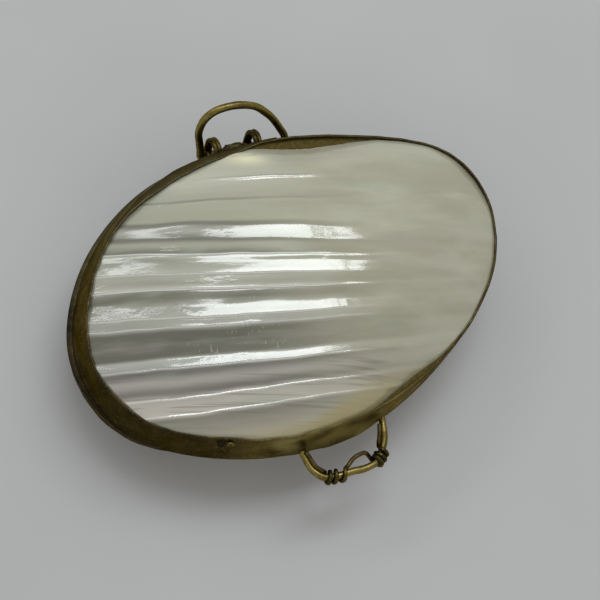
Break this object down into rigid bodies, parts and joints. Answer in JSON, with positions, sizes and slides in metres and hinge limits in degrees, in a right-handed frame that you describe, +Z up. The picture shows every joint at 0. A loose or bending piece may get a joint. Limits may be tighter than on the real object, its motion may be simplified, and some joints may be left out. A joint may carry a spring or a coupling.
{
  "type": "pill box",
  "caption": "Oval pill box of two domed mother-of-pearl shell valves in thin brass bands, with a wire hinge, a standing wire bail and a wire thumb loop.",
  "frame": {"origin": "centre of the ground flat under the lower valve, which the box rests on", "axes": "+X along the hinge pin and the long way of the box, +Y towards the hinge at the back, +Z up"},
  "size_m": [0.0732, 0.0629, 0.0228],
  "materials": {
    "pearl": "polished mother-of-pearl",
    "band_brass": "dark aged brass",
    "wire_brass": "rubbed aged brass wire",
    "cement": "dull reddish cement"
  },
  "bodies": {
    "base": {"base_shell": "pearl", "base_band": "band_brass", "base_cement": "cement", "base_collar": "band_brass", "hinge_barrel": "wire_brass", "hinge_saddle": "band_brass"},
    "lid": {"lid_shell": "pearl", "lid_band": "band_brass", "lid_cement": "cement", "lid_pin": "wire_brass", "hinge_eye_left": "wire_brass", "hinge_eye_right": "wire_brass", "thumb_loop": "wire_brass", "binding_wire": "wire_brass"},
    "bail": {"bail_wire": "wire_brass"}
  },
  "joints": [
    {"name": "lid_hinge", "type": "hinge", "parent": "base", "child": "lid", "pos_m": [0, 0.0266, 0.0066], "axis": [-1, 0, 0], "range_deg": [0, 95]},
    {"name": "bail_swing", "type": "hinge", "parent": "lid", "child": "bail", "pos_m": [0, 0.0266, 0.0066], "axis": [1, 0, 0], "range_deg": [-60, 33]}
  ]
}
